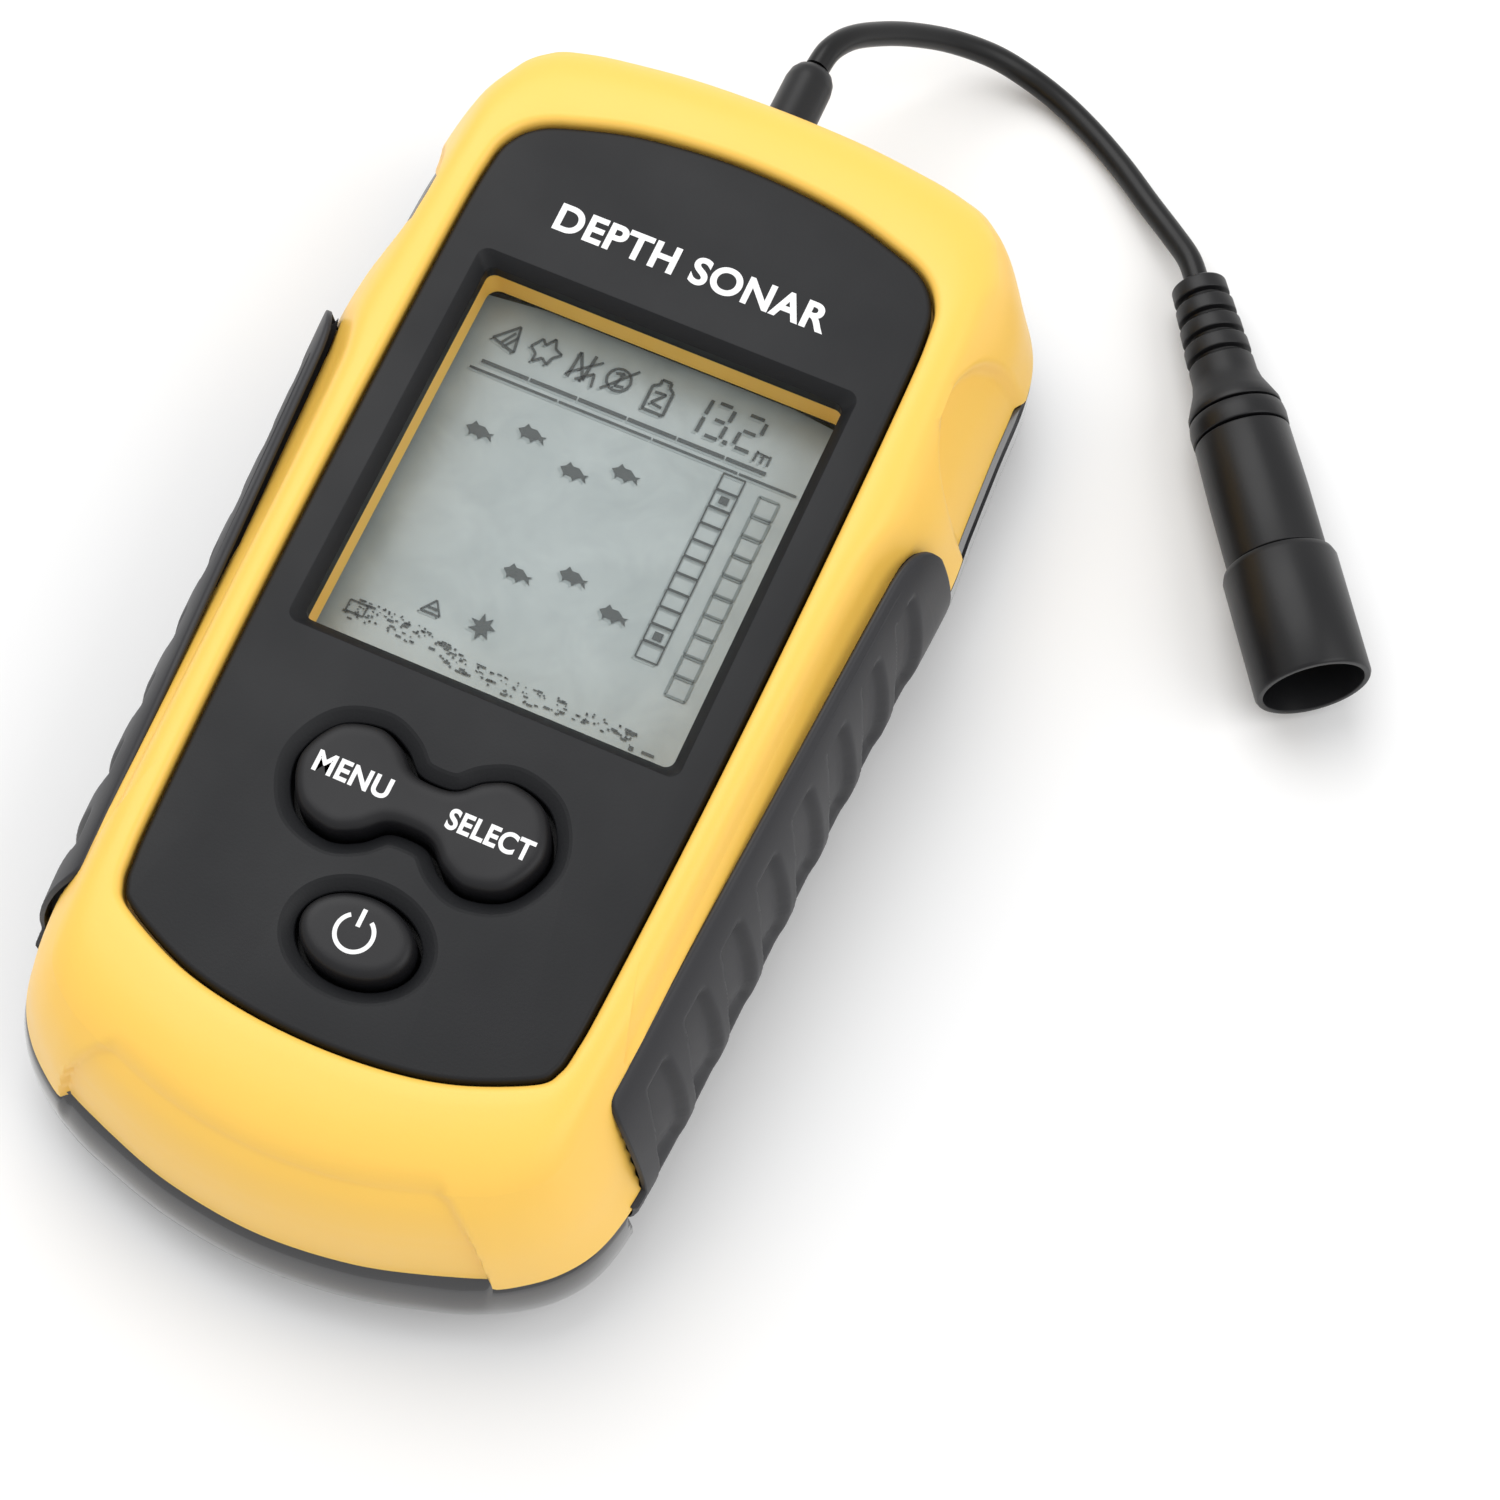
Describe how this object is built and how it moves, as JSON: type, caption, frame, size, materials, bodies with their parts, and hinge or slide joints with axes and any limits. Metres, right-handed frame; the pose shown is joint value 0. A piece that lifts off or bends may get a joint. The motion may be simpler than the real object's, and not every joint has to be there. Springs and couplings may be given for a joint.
{
  "type": "fish finder",
  "caption": "Handheld sonar depth display: rounded two-part case, rubber side grips, recessed window, rocker and power keys, sliding battery door, and a short lead ending in a sensor socket.",
  "frame": {"origin": "centre of the case's footprint, on the flat back that it lies on", "axes": "+Y along the case towards the lead, +Z out of the display, +X to the right seen from the front"},
  "size_m": [0.1181, 0.1635, 0.031],
  "materials": {
    "yellow_case": "injection-moulded ABS, satin with a fine grain",
    "black_case": "injection-moulded ABS, satin",
    "faceplate": "moulded ABS, fine matte texture with white printed legends",
    "key_rubber": "moulded silicone, satin, white printed legends",
    "grip_rubber": "overmoulded elastomer, matte",
    "lead_rubber": "PVC jacket and overmould, satin",
    "connector_plastic": "moulded nylon, satin",
    "seal": "moulded silicone",
    "clear_window": "clear acrylic window",
    "display": "reflective grey-green liquid crystal panel",
    "diffuser": "frosted acrylic light guide",
    "circuit_board": "green solder mask on glass laminate",
    "component": "moulded epoxy and potted parts",
    "cell": null,
    "plated_steel": "nickel-plated",
    "gold_pin": "gold-plated brass",
    "foam": "closed-cell foam strip"
  },
  "bodies": {
    "case": {"front_casing": "yellow_case", "back_casing": "black_case", "casing_gasket": "seal", "faceplate": "faceplate", "keypad_membrane": "seal", "grip_left": "grip_rubber", "grip_right": "grip_rubber", "window_lens": "clear_window", "lcd_panel": "display", "backlight_guide": "diffuser", "lcd_frame": "black_case", "main_board": "circuit_board", "main_chip": "component", "buzzer": "component", "sonar_transformer": "component", "power_capacitor": "component", "lead_socket": "component", "strain_relief": "lead_rubber", "inner_leads": "lead_rubber", "sonar_cable": "lead_rubber", "connector_boot": "lead_rubber", "connector_ring": "connector_plastic", "connector_body": "connector_plastic", "connector_sleeve": "connector_plastic", "connector_insert": "seal", "battery_1": "cell", "battery_spring_1": "plated_steel", "casing_screw_1": "plated_steel", "board_screw_1": "plated_steel", "battery_2": "cell", "battery_spring_2": "plated_steel", "casing_screw_2": "plated_steel", "board_screw_2": "plated_steel", "battery_3": "cell", "battery_spring_3": "plated_steel", "casing_screw_3": "plated_steel", "board_screw_3": "plated_steel", "battery_4": "cell", "battery_spring_4": "plated_steel", "casing_screw_4": "plated_steel", "board_screw_4": "plated_steel", "contact_top_left": "plated_steel", "contact_top_right": "plated_steel", "contact_lower_left": "plated_steel", "contact_lower_middle": "plated_steel", "contact_lower_right": "plated_steel", "contact_pin_1": "gold_pin", "contact_pin_2": "gold_pin", "contact_pin_3": "gold_pin"},
    "rocker": {"rocker_key": "key_rubber"},
    "power_button": {"power_key": "key_rubber"},
    "door": {"battery_door": "black_case", "door_foam": "foam"}
  },
  "joints": [
    {"name": "rocker_tilt", "type": "hinge", "parent": "case", "child": "rocker", "pos_m": [0, -0.0226, 0.0275], "axis": [0, 1, 0], "range_deg": [-3, 3], "stiffness_Nm_per_rad": 0.15},
    {"name": "power_press", "type": "slide", "parent": "case", "child": "power_button", "axis": [0, 0, -1], "range_m": [0, 0.0008], "stiffness_N_per_m": 800},
    {"name": "door_slide", "type": "slide", "parent": "case", "child": "door", "axis": [0, -1, 0], "range_m": [0, 0.012]}
  ]
}
